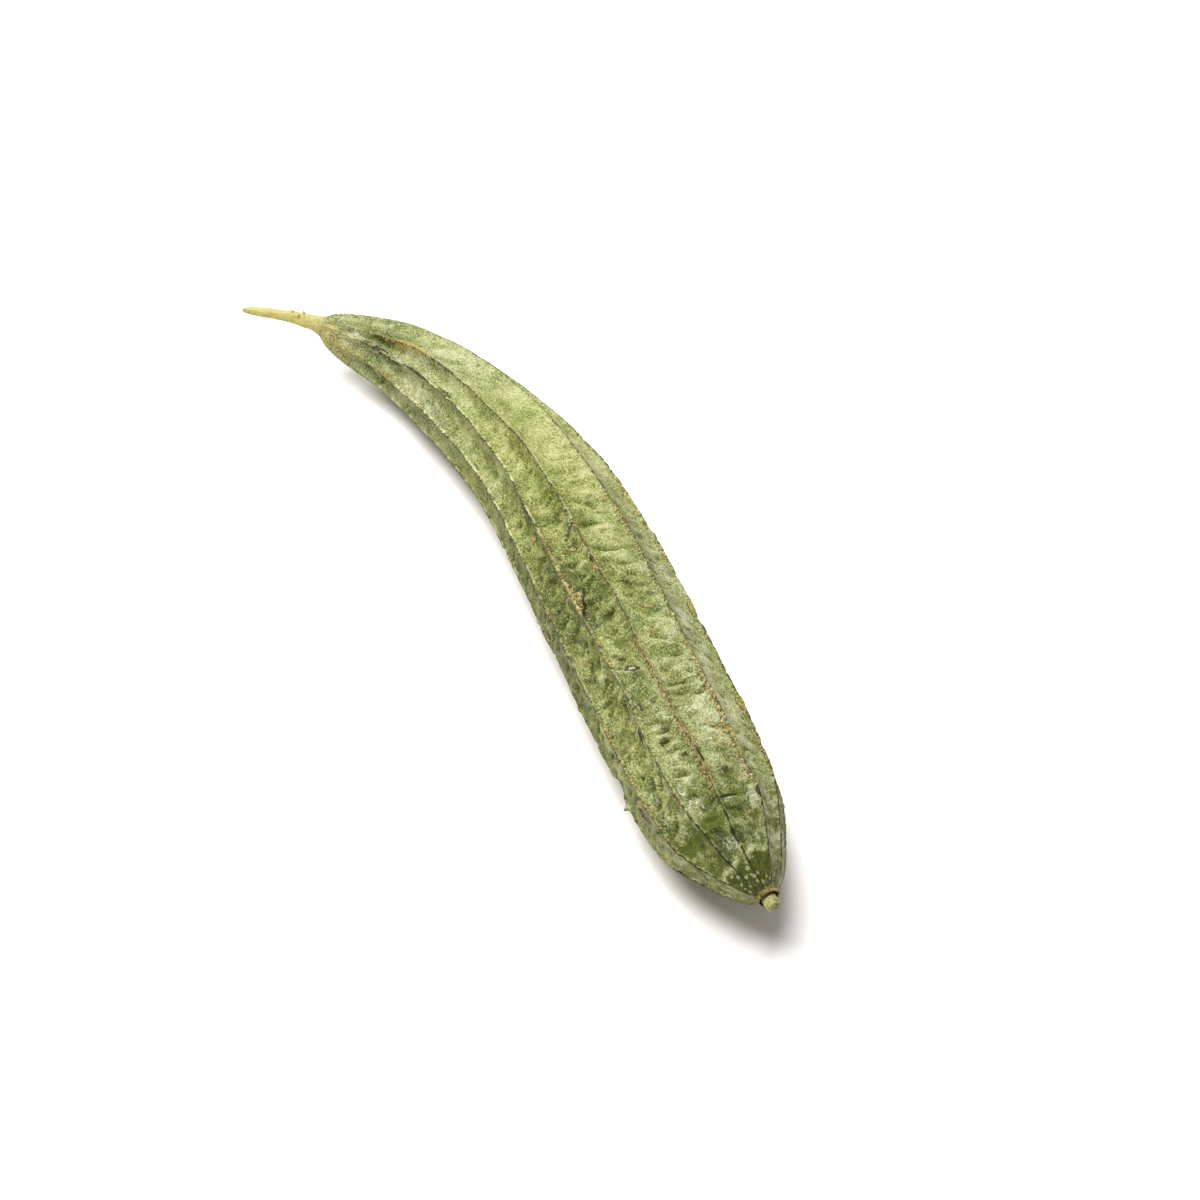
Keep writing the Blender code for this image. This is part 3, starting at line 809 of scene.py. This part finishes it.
def paint_crests(n):
    """Corky wear along the crests and a pale edge on one side of each, painted as the highlight of the keel's
    lit side; the dark line on top, partly painted shade, is kept for later.
    """
    reach = n.add(n.times(n.wear, 1.5), n.swing(n.rag, 4.0), n.times(n.crest, -1.0), -0.15)
    n.corky = n.times(n.ramp(reach, -0.2, 0.5), n.ramp(n.wear, 0.02, 0.25))
    n.paint(n.cork, n.corky, n.ramp(n.grit, 0.3, 0.7, 0.95, 0.75))
    # Painted highlight: a pale edge on the side of each crest that faces the light.
    flick = n.ramp(n.noise((0.24, 0.5, 0.5), 2.0, 0.55), 0.46, 0.52)
    crest_highlight = n.ramp(n.add(n.crest, n.swing(n.grit, 0.7)), 0.85, 0.55)
    crest_highlight = n.times(crest_highlight, flick, n.ramp(n.share, 0.05, 0.12))
    lit_side = n.ramp(n.add(n.lean, n.swing(n.coarse, 0.5)), -0.02, 0.06)
    crest_highlight = n.times(crest_highlight, lit_side, n.ramp(n.share, 0.42, 0.55, 0.90, 0.35))
    n.paint(n.either(n.grit, (196, 194, 124), (220, 220, 178)), crest_highlight)

    n.late = n.ramp(n.share, 0.90, 0.925)
    broken = n.swing(n.noise((0.9, 0.4, 0.4), 2.0), 1.7)
    # The dark line along each crest: partly its own dark colour, partly painted shade of the keel.
    line = n.add(n.times(n.crest, -1.0), 0.26, n.times(n.late, 0.16), broken, n.swing(n.grit, 0.9))
    begun = n.largest(n.ramp(n.share, 0.10, 0.20), n.attribute("neck"))
    line = n.times(n.ramp(line, 0.0, 0.22), begun)
    n.line = n.times(line, n.ramp(n.wear, 0.35, 0.9, 0.90, 0.60))


def paint_cap(n):
    """The dark dotted cap, the crest lines over it, the corky rim and the hollow behind it, painted nearly
    black as painted shade.
    """
    n.cap = n.times(ragged(n, n.cap, 0.15, 0.35, 0.8), n.ramp(n.cap, 0.25, 0.9, 0.3, 1.0))
    moss = n.either(n.coarse, (70, 82, 4), (100, 102, 30), 0.42, 0.62)
    n.paint(n.mix(n.ramp(n.grain, 0.4, 0.7, 0.0, 0.6), moss, (52, 62, 4)), n.cap, 0.96)
    around = n.attribute("cap_place", "Vector")
    dot = n.dots(around, 1.0, (0.40, 0.30), (0.22, 0.26), 0.7, n.swing(n.grain, 0.4))
    n.dot = n.times(dot, n.ramp(n.attribute("dots"), 0.5, 0.8))
    n.paint(n.either(n.grit, (156, 162, 108), (184, 188, 142)), n.dot, 0.9)
    shut = n.ramp(n.share, 0.972, 0.984, 1.0, 0.55)
    # The dark crest lines, partly painted shade.
    n.paint(n.mix(n.late, (62, 66, 50), (26, 30, 4)), n.line, shut)
    rim = n.ramp(n.add(n.share, n.swing(n.rag, 0.004)), 0.9965, 0.9990)
    n.paint(n.cork, rim, 0.9)
    # Painted shade: the hollow behind the rim, nearly black.
    n.paint((28, 26, 18), n.ramp(n.share, 1.0005, 1.0012))


def paint_marks(n, g):
    """The dark stains, then the marks too fine for the mesh: chips and their shade, slits, curls, rings."""
    n.paint((46, 48, 34), ragged(n, n.dark), n.ramp(n.grit, 0.3, 0.6, 1.0, 0.75))
    found = {name: [0.0] for name in ("chip", "shade", "slit", "curl", "ring", "hollow")}
    worm = n.math("ABSOLUTE", n.swing(n.noise(0.62, 1.0, 0.4), 1.0))
    for kind, share, place, length, width, amount, *turn in fine_marks():
        centre, along, across = placed(g, share / 1000, place, length, width, *turn)
        away = n.add(n.oval(centre, along, across), n.swing(n.grain, 1.2))
        inside = n.times(n.ramp(away, 1.05, 0.80), amount)
        if kind == "ring":
            found["ring"].append(n.times(n.ramp(away, 1.15, 0.95), amount))
            found["hollow"].append(n.times(n.ramp(away, 0.66, 0.44), amount))
        elif kind == "curls":
            found["curl"].append(n.times(inside, n.ramp(worm, 0.060, 0.030)))
        elif kind == "dark":
            found["slit"].append(inside)
        else:
            found["chip"].append(inside)
            # A painted shadow beside each chip, set off to one side.
            under = n.oval(centre + 0.5 * unit(along) - 0.4 * unit(across), along, across)
            under = n.ramp(n.add(under, n.swing(n.grain, 1.2)), 1.15, 0.85)
            found["shade"].append(n.times(under, amount))
    found = {name: n.largest(*masks) for name, masks in found.items()}
    # Painted shadow beside the chips.
    n.paint((70, 72, 28), found["shade"], 0.75)
    n.paint((42, 42, 20), found["slit"], 0.95)
    flaky = n.either(n.grit, (138, 124, 52), (206, 198, 122))
    n.paint(flaky, found["chip"], 0.85)
    n.paint((208, 209, 178), found["curl"], 0.9)
    n.paint((58, 52, 40), found["ring"], 0.95)
    n.paint((178, 175, 146), found["hollow"], 0.95)
    return found


def rind_material(g):
    n = rind_nodes()
    for layer in (paint_ground, paint_specks, paint_stains, paint_crests, paint_cap):
        layer(n)
    found = paint_marks(n, g)
    rough = n.add(n.ramp(n.coarse, 0.3, 0.7, 0.50, 0.64), n.times(n.corky, 0.12), n.times(n.cap, -0.08))
    height = n.add(
        n.times(n.grain, 0.42), n.times(n.grit, 0.25), n.times(n.fleck, 0.25), n.times(n.pit, -0.2),
        n.times(n.corky, n.rag, 0.55), n.times(n.line, -0.12), n.times(n.dot, 0.08),
        n.times(found["chip"], 0.5), n.times(found["curl"], 0.35), n.times(found["slit"], -0.45),
        n.times(found["ring"], 0.4), n.times(found["hollow"], -0.3),
    )
    return n.finish(rough, height, 0.22)


def stem_material():
    n = Nodes("stem")
    along = n.attribute("along")
    streak, grit = n.noise((0.25, 1.6, 1.6)), n.noise(1.9, 2.0)
    n.colour = n.shades(n.add(0.55, n.swing(streak, 0.9), n.swing(grit, 0.8)), (
        (0.10, (134, 120, 58)), (0.40, (182, 170, 90)), (0.62, (204, 194, 116)), (0.95, (216, 212, 154)),
    ))
    n.paint(n.either(grit, (136, 134, 72), (196, 196, 142), 0.35, 0.65), n.ramp(along, 5.5, 0.5, 0.0, 0.65))
    n.paint((104, 92, 48), n.dots(n.where, 0.9, (0.22, 0.12), (0.5, 0.6)), 0.6)
    n.paint((150, 132, 84), n.ramp(along, 31.6, 33.0, 0.0, 0.3))
    height = n.add(n.times(streak, 0.35), n.times(grit, 0.15))
    return n.finish(n.ramp(streak, 0.3, 0.7, 0.5, 0.68), height, 0.35)


def stub_material():
    n = Nodes("stub")
    along = n.attribute("along")
    wrinkle, grit = n.noise((1.3, 0.55, 0.55), 3.0, 0.65), n.noise(2.2, 2.0)
    n.colour = n.shades(n.add(0.52, n.swing(wrinkle, 1.3), n.swing(grit, 0.8)), (
        (0.10, (104, 98, 50)), (0.40, (166, 162, 96)), (0.65, (200, 196, 132)), (0.95, (222, 218, 168)),
    ))
    end = n.times(n.ramp(along, 4.1, 4.7), n.ramp(n.attribute("reach"), 2.3, 1.4))
    n.paint(n.either(wrinkle, (74, 56, 30), (168, 142, 84)), end, n.ramp(grit, 0.3, 0.6, 0.6, 0.95))
    # Painted shade: darker towards the stub's base, down in the hollow.
    n.paint((60, 56, 32), n.ramp(along, 0.8, 0.0, 0.0, 0.8))
    height = n.add(n.times(wrinkle, 0.7), n.times(grit, 0.2))
    return n.finish(n.ramp(wrinkle, 0.3, 0.7, 0.55, 0.72), height, 0.3)


def floor_material():
    material = bpy.data.materials.new("floor")
    material.use_nodes = True
    shader = material.node_tree.nodes["Principled BSDF"]
    shader.inputs["Base Color"].default_value = (0.94, 0.91, 0.90, 1.0)
    shader.inputs["Roughness"].default_value = 0.8
    shader.inputs["Specular IOR Level"].default_value = 0.1
    return material


# ---- build
def build_body():
    g = build_body_grid()
    out, masks = body_surface(g)
    fruit = body_points(g, out)
    skin = grid_mesh("gourd_skin", np.concatenate([fruit, collar_rings(g)], axis=0), g.around)
    extra = len(COLLAR)

    def pad(values, rise=0.0):
        """Carry the last ring's values on over the collar, rising by a step for each ring."""
        tail = np.repeat(values[-1:], extra, axis=0) + rise * (np.arange(extra)[:, None] + 1)
        return np.concatenate([values, tail], axis=0)

    def keep(name, *values):
        store(skin, name, *(pad(v) for v in values))

    step = np.linalg.norm(np.diff(fruit, axis=0), axis=2)[::-1]
    arc = np.concatenate([np.zeros((1, step.shape[1])), np.cumsum(step, axis=0)])[::-1] / MM
    dashed = np.isin(g.rib, DASHED)
    many, long = np.where(dashed, 7.0, 4.6), np.where(dashed, 3.2, 2.2)
    store(skin, "place", pad(g.share, 0.00025), pad(g.crest), pad(g.lean))
    keep("unbent", *np.moveaxis(g.unbent, -1, 0))
    keep("finish", masks["tone"], masks["wear"], masks["cap"])
    keep("dots", masks["dots"])
    keep("silver", masks["silver"])
    keep("neck", (nearest_crest(g) == 1) * smooth_step(0.045, 0.07, g.share))
    keep("stain_a", *(masks[name] for name in STAINS[:3]))
    keep("stain_b", *(masks[name] for name in STAINS[3:]))
    keep("cap_place", g.angle * many, arc / long, g.rib * 5.0)
    skin.data.materials.append(rind_material(g))
    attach(skin, "root")
    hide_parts("gourd_body")


def build_stem():
    centre, forward, left, up = body_axis.frame(np.array([0.0]))
    start = centre[0] + forward[0] * STEM_INSET
    length = STEM_LENGTH + STEM_INSET
    axis = Axis(start[:2], length, STEM_HEADING, STEM_HEIGHT, -1.0)
    tip = 1 - 0.03 * np.linspace(1, 0, 14) ** 1.8
    share = np.concatenate([np.linspace(0, 0.97, 130, endpoint=False), tip])
    centre, forward, left, up = (v[:, None] for v in axis.frame(share))
    angle = np.linspace(0, 2 * np.pi, STEM_SIDES, endpoint=False)
    share = share[:, None]
    along = share * length / MM
    x, y = np.cos(angle)[None, :], np.sin(angle)[None, :]
    lumps = 0.16 * speck(along / 3.4, x, y) + 0.10 * speck(along / 1.3, x * 2.2, y * 2.2)
    ribs = 0.07 * np.cos(5 * angle + along / 9)
    knob = 0.55 * bump_at(along, 13.2, 2.2) * np.clip(x, 0, 1) ** 1.5 + 0.25 * bump_at(along, 9.5, 2.4)
    thorns = np.zeros_like(lumps)
    for place, turn, tall, wide in STEM_THORNS:
        gap = np.angle(np.exp(1j * (angle - turn)))
        thorns += tall * bump_at(along, place, wide) * bump_at(gap, 0.0, 0.16)
    radius = blend(STEM_SKIN, share) / MM + (lumps + ribs + knob + thorns) * smooth_step(0.0, 0.06, share)
    radius = radius * (np.clip((1 - share) / 0.03, 0, 1) ** 0.5 * 0.55 + 0.45)
    points = ring_points(centre, left, up, -angle, radius)
    stem = grid_mesh("stem_skin", points, np.arange(STEM_SIDES) / STEM_SIDES)
    along = np.broadcast_to(along, radius.shape)
    store(stem, "unbent", along, radius * x, radius * y)
    store(stem, "along", along)
    stem.data.materials.append(stem_material())
    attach(stem, "root")
    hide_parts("stem")


def build_stub():
    centre, forward, left, up = (v[0] for v in body_axis.frame(np.array([1.0])))
    angle = np.linspace(0, 2 * np.pi, STUB_SIDES, endpoint=False)
    fine = np.linspace(0, len(STUB_PROFILE) - 1, 46)
    offset, radius = (np.interp(fine, range(len(values)), values)[:, None] for values in zip(*STUB_PROFILE))
    x, y = np.cos(angle), np.sin(angle)
    rough = 0.20 * speck(x * 1.5, y * 1.5, offset * 0.6) + 0.09 * speck(x * 4.0, y * 4.0, offset * 1.6)
    reach = radius + rough * np.minimum(1.0, radius / 1.2)
    ahead = offset + 0.18 * speck(x * radius, y * radius, 3.0) * smooth_step(3.0, 4.4, offset)
    middle = centre - up * STUB_DROP + forward * ahead[..., None] * MM
    points = ring_points(middle, left, up, angle, reach)
    stub = grid_mesh("stub_skin", points, np.arange(STUB_SIDES) / STUB_SIDES)
    along = np.broadcast_to(offset, reach.shape)
    store(stub, "unbent", along, reach * x, reach * y)
    store(stub, "along", along)
    store(stub, "reach", reach)
    stub.data.materials.append(stub_material())
    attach(stub, "root")
    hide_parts("blossom_stub")


# ---- floor, light and camera
def build_stage():
    mesh = bpy.data.meshes.new("floor")
    corners = [(x * FLOOR_REACH, y * FLOOR_REACH, 0) for x, y in ((-1, -1), (1, -1), (1, 1), (-1, 1))]
    mesh.from_pydata(corners, [], [(0, 1, 2, 3)])
    floor = add_object("floor", mesh)
    floor.data.materials.append(floor_material())


def seen(right, away, up):
    """A direction given as the camera sees the floor, in world axes."""
    x = right * math.cos(AZIMUTH) - away * math.sin(AZIMUTH)
    y = right * math.sin(AZIMUTH) + away * math.cos(AZIMUTH)
    return Vector((x, y, up))


def stand_facing(name, data, target, direction, distance):
    """An object that stands off from the target in a direction and looks back at it."""
    obj = add_object(name, data)
    obj.location = target + direction.normalized() * distance
    obj.rotation_euler = (-direction).to_track_quat("-Z", "Y").to_euler()
    return obj


def build_camera():
    middle = (Vector(cad_low) + Vector(cad_high)) / 2
    aim = Vector((middle.x + AIM[0], middle.y + AIM[1], 0.0))
    data = bpy.data.cameras.new("camera")
    data.lens = 85
    data.sensor_width = 36
    data.clip_start = 0.01
    back = seen(0, -math.cos(ELEVATION), math.sin(ELEVATION))
    scene.camera = stand_facing("camera", data, aim, back, DISTANCE)


def area_light(name, direction, size, power):
    data = bpy.data.lights.new(name, "AREA")
    data.shape = "DISK"
    data.size = size
    data.energy = power
    stand_facing(name, data, Vector(), direction, LIGHT_DISTANCE)


def build_lights():
    world = bpy.data.worlds.new("studio")
    world.use_nodes = True
    background = world.node_tree.nodes["Background"]
    background.inputs["Color"].default_value = (1.0, 0.95, 0.94, 1)
    background.inputs["Strength"].default_value = 0.34
    scene.world = world
    area_light("key", seen(-0.26, 0.12, 1.0), 1.25, 43)
    area_light("rim", seen(-0.30, 1.00, 0.62), 0.6, 11)
    scene.view_settings.view_transform = "Standard"


build_body()
build_stem()
build_stub()
build_stage()
build_lights()
build_camera()
